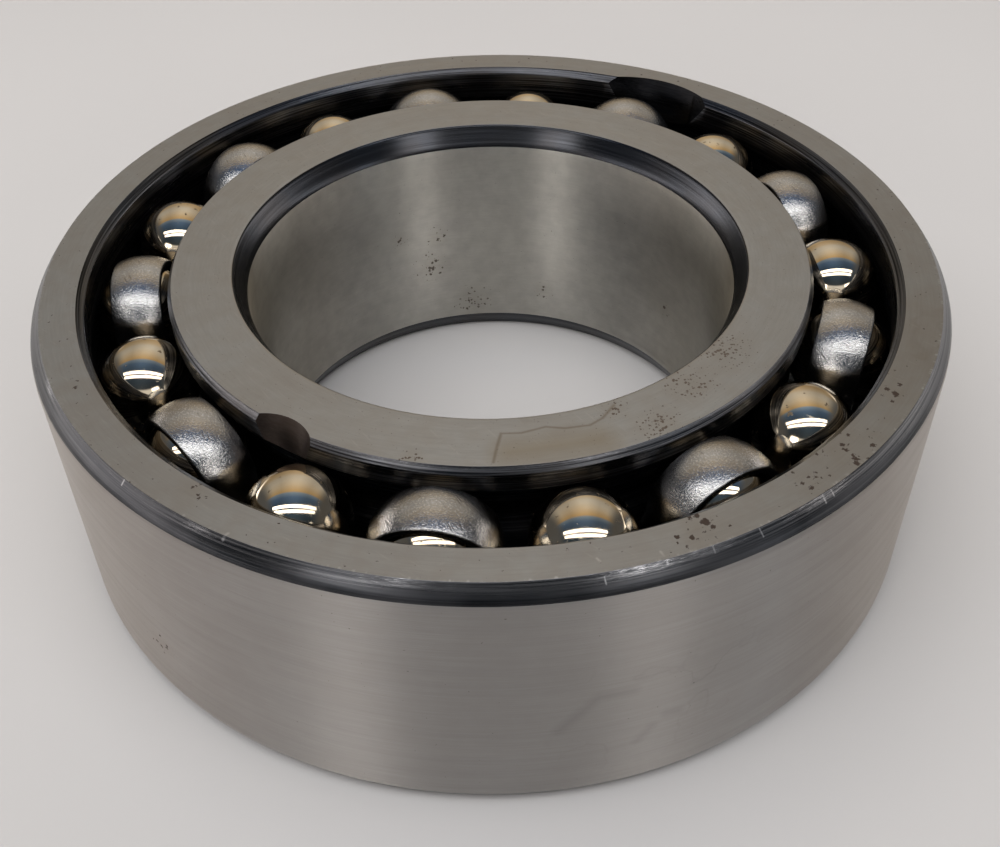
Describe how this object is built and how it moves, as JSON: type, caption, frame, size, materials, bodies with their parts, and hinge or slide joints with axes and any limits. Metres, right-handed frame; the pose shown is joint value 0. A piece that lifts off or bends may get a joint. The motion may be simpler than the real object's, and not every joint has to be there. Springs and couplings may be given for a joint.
{
  "type": "angular contact ball bearing",
  "caption": "Double-row angular contact ball bearing with filling notches in both rings and a pressed zig-zag steel cage for each row; the inner ring turns and the balls roll.",
  "frame": {"origin": "middle of the bearing: on its axis, halfway between its two faces", "axes": "+Z along the bearing's axis; the filling notch of the inner ring lies near -Y and that of the outer ring near +Y"},
  "size_m": [0.12, 0.12, 0.0382],
  "materials": {
    "ring_steel": "ground, worn",
    "cage_steel": "satin pressed",
    "ball_steel": "polished"
  },
  "bodies": {
    "outer": {"outer_ring": "ring_steel"},
    "inner": {"inner_ring": "ring_steel"},
    "cage_upper": {"cage_upper": "cage_steel"},
    "ball_upper_01": {"ball_upper_01": "ball_steel"},
    "ball_upper_02": {"ball_upper_02": "ball_steel"},
    "ball_upper_03": {"ball_upper_03": "ball_steel"},
    "ball_upper_04": {"ball_upper_04": "ball_steel"},
    "ball_upper_05": {"ball_upper_05": "ball_steel"},
    "ball_upper_06": {"ball_upper_06": "ball_steel"},
    "ball_upper_07": {"ball_upper_07": "ball_steel"},
    "ball_upper_08": {"ball_upper_08": "ball_steel"},
    "ball_upper_09": {"ball_upper_09": "ball_steel"},
    "ball_upper_10": {"ball_upper_10": "ball_steel"},
    "ball_upper_11": {"ball_upper_11": "ball_steel"},
    "ball_upper_12": {"ball_upper_12": "ball_steel"},
    "ball_upper_13": {"ball_upper_13": "ball_steel"},
    "ball_upper_14": {"ball_upper_14": "ball_steel"},
    "ball_upper_15": {"ball_upper_15": "ball_steel"},
    "ball_upper_16": {"ball_upper_16": "ball_steel"},
    "ball_upper_17": {"ball_upper_17": "ball_steel"},
    "ball_upper_18": {"ball_upper_18": "ball_steel"},
    "cage_lower": {"cage_lower": "cage_steel"},
    "ball_lower_01": {"ball_lower_01": "ball_steel"},
    "ball_lower_02": {"ball_lower_02": "ball_steel"},
    "ball_lower_03": {"ball_lower_03": "ball_steel"},
    "ball_lower_04": {"ball_lower_04": "ball_steel"},
    "ball_lower_05": {"ball_lower_05": "ball_steel"},
    "ball_lower_06": {"ball_lower_06": "ball_steel"},
    "ball_lower_07": {"ball_lower_07": "ball_steel"},
    "ball_lower_08": {"ball_lower_08": "ball_steel"},
    "ball_lower_09": {"ball_lower_09": "ball_steel"},
    "ball_lower_10": {"ball_lower_10": "ball_steel"},
    "ball_lower_11": {"ball_lower_11": "ball_steel"},
    "ball_lower_12": {"ball_lower_12": "ball_steel"},
    "ball_lower_13": {"ball_lower_13": "ball_steel"},
    "ball_lower_14": {"ball_lower_14": "ball_steel"},
    "ball_lower_15": {"ball_lower_15": "ball_steel"},
    "ball_lower_16": {"ball_lower_16": "ball_steel"},
    "ball_lower_17": {"ball_lower_17": "ball_steel"},
    "ball_lower_18": {"ball_lower_18": "ball_steel"}
  },
  "joints": [
    {"name": "inner_spin", "type": "hinge", "parent": "outer", "child": "inner", "pos_m": [0, 0, 0], "axis": [0, 0, 1], "continuous": true},
    {"name": "cage_upper_spin", "type": "hinge", "parent": "outer", "child": "cage_upper", "pos_m": [0, 0, 0.01105], "axis": [0, 0, 1], "continuous": true},
    {"name": "ball_upper_01_roll", "type": "hinge", "parent": "cage_upper", "child": "ball_upper_01", "pos_m": [0.02487, -0.04011, 0.01105], "axis": [0.2227, -0.3592, 0.9063], "continuous": true},
    {"name": "ball_upper_02_roll", "type": "hinge", "parent": "cage_upper", "child": "ball_upper_02", "pos_m": [0.03709, -0.02919, 0.01105], "axis": [0.3321, -0.2614, 0.9063], "continuous": true},
    {"name": "ball_upper_03_roll", "type": "hinge", "parent": "cage_upper", "child": "ball_upper_03", "pos_m": [0.04484, -0.01474, 0.01105], "axis": [0.4015, -0.132, 0.9063], "continuous": true},
    {"name": "ball_upper_04_roll", "type": "hinge", "parent": "cage_upper", "child": "ball_upper_04", "pos_m": [0.04718, 0.00148, 0.01105], "axis": [0.4224, 0.0133, 0.9063], "continuous": true},
    {"name": "ball_upper_05_roll", "type": "hinge", "parent": "cage_upper", "child": "ball_upper_05", "pos_m": [0.04382, 0.01753, 0.01105], "axis": [0.3924, 0.1569, 0.9063], "continuous": true},
    {"name": "ball_upper_06_roll", "type": "hinge", "parent": "cage_upper", "child": "ball_upper_06", "pos_m": [0.03519, 0.03146, 0.01105], "axis": [0.3151, 0.2817, 0.9063], "continuous": true},
    {"name": "ball_upper_07_roll", "type": "hinge", "parent": "cage_upper", "child": "ball_upper_07", "pos_m": [0.0223, 0.0416, 0.01105], "axis": [0.1997, 0.3725, 0.9063], "continuous": true},
    {"name": "ball_upper_08_roll", "type": "hinge", "parent": "cage_upper", "child": "ball_upper_08", "pos_m": [0.00673, 0.04672, 0.01105], "axis": [0.0603, 0.4183, 0.9063], "continuous": true},
    {"name": "ball_upper_09_roll", "type": "hinge", "parent": "cage_upper", "child": "ball_upper_09", "pos_m": [-0.00965, 0.0462, 0.01105], "axis": [-0.0864, 0.4137, 0.9063], "continuous": true},
    {"name": "ball_upper_10_roll", "type": "hinge", "parent": "cage_upper", "child": "ball_upper_10", "pos_m": [-0.02487, 0.04011, 0.01105], "axis": [-0.2227, 0.3592, 0.9063], "continuous": true},
    {"name": "ball_upper_11_roll", "type": "hinge", "parent": "cage_upper", "child": "ball_upper_11", "pos_m": [-0.03709, 0.02919, 0.01105], "axis": [-0.3321, 0.2614, 0.9063], "continuous": true},
    {"name": "ball_upper_12_roll", "type": "hinge", "parent": "cage_upper", "child": "ball_upper_12", "pos_m": [-0.04484, 0.01474, 0.01105], "axis": [-0.4015, 0.132, 0.9063], "continuous": true},
    {"name": "ball_upper_13_roll", "type": "hinge", "parent": "cage_upper", "child": "ball_upper_13", "pos_m": [-0.04718, -0.00148, 0.01105], "axis": [-0.4224, -0.0133, 0.9063], "continuous": true},
    {"name": "ball_upper_14_roll", "type": "hinge", "parent": "cage_upper", "child": "ball_upper_14", "pos_m": [-0.04382, -0.01753, 0.01105], "axis": [-0.3924, -0.1569, 0.9063], "continuous": true},
    {"name": "ball_upper_15_roll", "type": "hinge", "parent": "cage_upper", "child": "ball_upper_15", "pos_m": [-0.03519, -0.03146, 0.01105], "axis": [-0.3151, -0.2817, 0.9063], "continuous": true},
    {"name": "ball_upper_16_roll", "type": "hinge", "parent": "cage_upper", "child": "ball_upper_16", "pos_m": [-0.0223, -0.0416, 0.01105], "axis": [-0.1997, -0.3725, 0.9063], "continuous": true},
    {"name": "ball_upper_17_roll", "type": "hinge", "parent": "cage_upper", "child": "ball_upper_17", "pos_m": [-0.00673, -0.04672, 0.01105], "axis": [-0.0603, -0.4183, 0.9063], "continuous": true},
    {"name": "ball_upper_18_roll", "type": "hinge", "parent": "cage_upper", "child": "ball_upper_18", "pos_m": [0.00965, -0.0462, 0.01105], "axis": [0.0864, -0.4137, 0.9063], "continuous": true},
    {"name": "cage_lower_spin", "type": "hinge", "parent": "outer", "child": "cage_lower", "pos_m": [0, 0, -0.01105], "axis": [0, 0, 1], "continuous": true},
    {"name": "ball_lower_01_roll", "type": "hinge", "parent": "cage_lower", "child": "ball_lower_01", "pos_m": [0.03146, -0.03519, -0.01105], "axis": [-0.2817, 0.3151, 0.9063], "continuous": true},
    {"name": "ball_lower_02_roll", "type": "hinge", "parent": "cage_lower", "child": "ball_lower_02", "pos_m": [0.0416, -0.0223, -0.01105], "axis": [-0.3725, 0.1997, 0.9063], "continuous": true},
    {"name": "ball_lower_03_roll", "type": "hinge", "parent": "cage_lower", "child": "ball_lower_03", "pos_m": [0.04672, -0.00673, -0.01105], "axis": [-0.4183, 0.0603, 0.9063], "continuous": true},
    {"name": "ball_lower_04_roll", "type": "hinge", "parent": "cage_lower", "child": "ball_lower_04", "pos_m": [0.0462, 0.00965, -0.01105], "axis": [-0.4137, -0.0864, 0.9063], "continuous": true},
    {"name": "ball_lower_05_roll", "type": "hinge", "parent": "cage_lower", "child": "ball_lower_05", "pos_m": [0.04011, 0.02487, -0.01105], "axis": [-0.3592, -0.2227, 0.9063], "continuous": true},
    {"name": "ball_lower_06_roll", "type": "hinge", "parent": "cage_lower", "child": "ball_lower_06", "pos_m": [0.02919, 0.03709, -0.01105], "axis": [-0.2614, -0.3321, 0.9063], "continuous": true},
    {"name": "ball_lower_07_roll", "type": "hinge", "parent": "cage_lower", "child": "ball_lower_07", "pos_m": [0.01474, 0.04484, -0.01105], "axis": [-0.132, -0.4015, 0.9063], "continuous": true},
    {"name": "ball_lower_08_roll", "type": "hinge", "parent": "cage_lower", "child": "ball_lower_08", "pos_m": [-0.00148, 0.04718, -0.01105], "axis": [0.0133, -0.4224, 0.9063], "continuous": true},
    {"name": "ball_lower_09_roll", "type": "hinge", "parent": "cage_lower", "child": "ball_lower_09", "pos_m": [-0.01753, 0.04382, -0.01105], "axis": [0.1569, -0.3924, 0.9063], "continuous": true},
    {"name": "ball_lower_10_roll", "type": "hinge", "parent": "cage_lower", "child": "ball_lower_10", "pos_m": [-0.03146, 0.03519, -0.01105], "axis": [0.2817, -0.3151, 0.9063], "continuous": true},
    {"name": "ball_lower_11_roll", "type": "hinge", "parent": "cage_lower", "child": "ball_lower_11", "pos_m": [-0.0416, 0.0223, -0.01105], "axis": [0.3725, -0.1997, 0.9063], "continuous": true},
    {"name": "ball_lower_12_roll", "type": "hinge", "parent": "cage_lower", "child": "ball_lower_12", "pos_m": [-0.04672, 0.00673, -0.01105], "axis": [0.4183, -0.0603, 0.9063], "continuous": true},
    {"name": "ball_lower_13_roll", "type": "hinge", "parent": "cage_lower", "child": "ball_lower_13", "pos_m": [-0.0462, -0.00965, -0.01105], "axis": [0.4137, 0.0864, 0.9063], "continuous": true},
    {"name": "ball_lower_14_roll", "type": "hinge", "parent": "cage_lower", "child": "ball_lower_14", "pos_m": [-0.04011, -0.02487, -0.01105], "axis": [0.3592, 0.2227, 0.9063], "continuous": true},
    {"name": "ball_lower_15_roll", "type": "hinge", "parent": "cage_lower", "child": "ball_lower_15", "pos_m": [-0.02919, -0.03709, -0.01105], "axis": [0.2614, 0.3321, 0.9063], "continuous": true},
    {"name": "ball_lower_16_roll", "type": "hinge", "parent": "cage_lower", "child": "ball_lower_16", "pos_m": [-0.01474, -0.04484, -0.01105], "axis": [0.132, 0.4015, 0.9063], "continuous": true},
    {"name": "ball_lower_17_roll", "type": "hinge", "parent": "cage_lower", "child": "ball_lower_17", "pos_m": [0.00148, -0.04718, -0.01105], "axis": [-0.0133, 0.4224, 0.9063], "continuous": true},
    {"name": "ball_lower_18_roll", "type": "hinge", "parent": "cage_lower", "child": "ball_lower_18", "pos_m": [0.01753, -0.04382, -0.01105], "axis": [-0.1569, 0.3924, 0.9063], "continuous": true}
  ],
  "couplings": [
    {"joint": "cage_upper_spin", "follows": "inner_spin", "ratio": 0.43904},
    {"joint": "ball_upper_01_roll", "follows": "inner_spin", "ratio": -3.6613},
    {"joint": "ball_upper_02_roll", "follows": "inner_spin", "ratio": -3.6613},
    {"joint": "ball_upper_03_roll", "follows": "inner_spin", "ratio": -3.6613},
    {"joint": "ball_upper_04_roll", "follows": "inner_spin", "ratio": -3.6613},
    {"joint": "ball_upper_05_roll", "follows": "inner_spin", "ratio": -3.6613},
    {"joint": "ball_upper_06_roll", "follows": "inner_spin", "ratio": -3.6613},
    {"joint": "ball_upper_07_roll", "follows": "inner_spin", "ratio": -3.6613},
    {"joint": "ball_upper_08_roll", "follows": "inner_spin", "ratio": -3.6613},
    {"joint": "ball_upper_09_roll", "follows": "inner_spin", "ratio": -3.6613},
    {"joint": "ball_upper_10_roll", "follows": "inner_spin", "ratio": -3.6613},
    {"joint": "ball_upper_11_roll", "follows": "inner_spin", "ratio": -3.6613},
    {"joint": "ball_upper_12_roll", "follows": "inner_spin", "ratio": -3.6613},
    {"joint": "ball_upper_13_roll", "follows": "inner_spin", "ratio": -3.6613},
    {"joint": "ball_upper_14_roll", "follows": "inner_spin", "ratio": -3.6613},
    {"joint": "ball_upper_15_roll", "follows": "inner_spin", "ratio": -3.6613},
    {"joint": "ball_upper_16_roll", "follows": "inner_spin", "ratio": -3.6613},
    {"joint": "ball_upper_17_roll", "follows": "inner_spin", "ratio": -3.6613},
    {"joint": "ball_upper_18_roll", "follows": "inner_spin", "ratio": -3.6613},
    {"joint": "cage_lower_spin", "follows": "inner_spin", "ratio": 0.43904},
    {"joint": "ball_lower_01_roll", "follows": "inner_spin", "ratio": -3.6613},
    {"joint": "ball_lower_02_roll", "follows": "inner_spin", "ratio": -3.6613},
    {"joint": "ball_lower_03_roll", "follows": "inner_spin", "ratio": -3.6613},
    {"joint": "ball_lower_04_roll", "follows": "inner_spin", "ratio": -3.6613},
    {"joint": "ball_lower_05_roll", "follows": "inner_spin", "ratio": -3.6613},
    {"joint": "ball_lower_06_roll", "follows": "inner_spin", "ratio": -3.6613},
    {"joint": "ball_lower_07_roll", "follows": "inner_spin", "ratio": -3.6613},
    {"joint": "ball_lower_08_roll", "follows": "inner_spin", "ratio": -3.6613},
    {"joint": "ball_lower_09_roll", "follows": "inner_spin", "ratio": -3.6613},
    {"joint": "ball_lower_10_roll", "follows": "inner_spin", "ratio": -3.6613},
    {"joint": "ball_lower_11_roll", "follows": "inner_spin", "ratio": -3.6613},
    {"joint": "ball_lower_12_roll", "follows": "inner_spin", "ratio": -3.6613},
    {"joint": "ball_lower_13_roll", "follows": "inner_spin", "ratio": -3.6613},
    {"joint": "ball_lower_14_roll", "follows": "inner_spin", "ratio": -3.6613},
    {"joint": "ball_lower_15_roll", "follows": "inner_spin", "ratio": -3.6613},
    {"joint": "ball_lower_16_roll", "follows": "inner_spin", "ratio": -3.6613},
    {"joint": "ball_lower_17_roll", "follows": "inner_spin", "ratio": -3.6613},
    {"joint": "ball_lower_18_roll", "follows": "inner_spin", "ratio": -3.6613}
  ]
}
